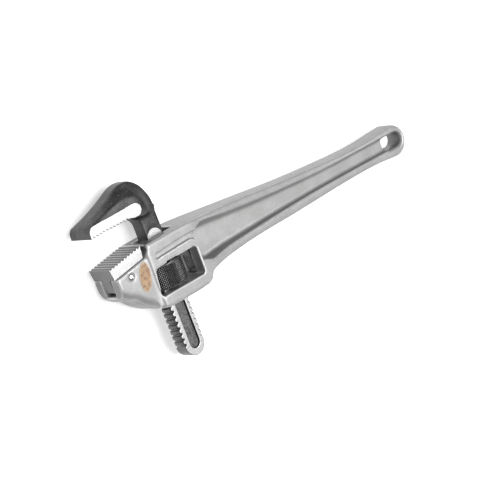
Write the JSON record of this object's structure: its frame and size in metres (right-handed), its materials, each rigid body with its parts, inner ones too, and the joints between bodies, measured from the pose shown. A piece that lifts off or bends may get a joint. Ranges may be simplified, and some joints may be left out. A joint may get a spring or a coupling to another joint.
{
  "type": "pipe wrench",
  "caption": "Offset pipe wrench with a light cast handle, a floating hook jaw set by a knurled nut, and a toothed heel jaw held by a pin.",
  "frame": {"origin": "on the resting plane, under the middle of the bounding box at rest", "axes": "+X along the handle towards the hanging eye, +Y the way the hook jaw opens, +Z out of the broad side that faces up"},
  "size_m": [0.3608, 0.1644, 0.039],
  "materials": {
    "cast_handle": "sand cast, satin, fine grain",
    "jaw_steel": "ground sides, dark hardened ends",
    "pin_steel": "polished, domed ends",
    "label_foil": "faded printed foil",
    "forged_steel": "forged, black oxide, ground flats",
    "nut_steel": "knurled, black oxide",
    "spring_steel": "tempered spring steel"
  },
  "bodies": {
    "handle": {"handle_casting": "cast_handle", "heel_jaw": "jaw_steel", "heel_jaw_pin": "pin_steel", "oval_label": "label_foil"},
    "springs": {"flat_spring": "spring_steel", "coil_spring": "spring_steel", "spring_rivet": "pin_steel"},
    "nut": {"adjusting_nut": "nut_steel"},
    "hook": {"hook_jaw": "forged_steel"}
  },
  "joints": [
    {"name": "jaw_rock", "type": "hinge", "parent": "handle", "child": "springs", "pos_m": [-0.11595, -0.00605, 0.0195], "axis": [0, 0, 1], "range_deg": [-2.5, 0], "stiffness_Nm_per_rad": 2, "springref_deg": 2.86, "deforming": ["coil_spring"]},
    {"name": "nut_spin", "type": "hinge", "parent": "springs", "child": "nut", "pos_m": [-0.11595, -0.00605, 0.0195], "axis": [0, -1, 0], "range_deg": [-1176.92, 2284.61]},
    {"name": "jaw_slide", "type": "slide", "parent": "springs", "child": "hook", "axis": [0, 1, 0], "range_m": [-0.017, 0.033]}
  ],
  "couplings": [
    {"joint": "nut_spin", "follows": "jaw_slide", "rad_per_m": 1208.3}
  ]
}
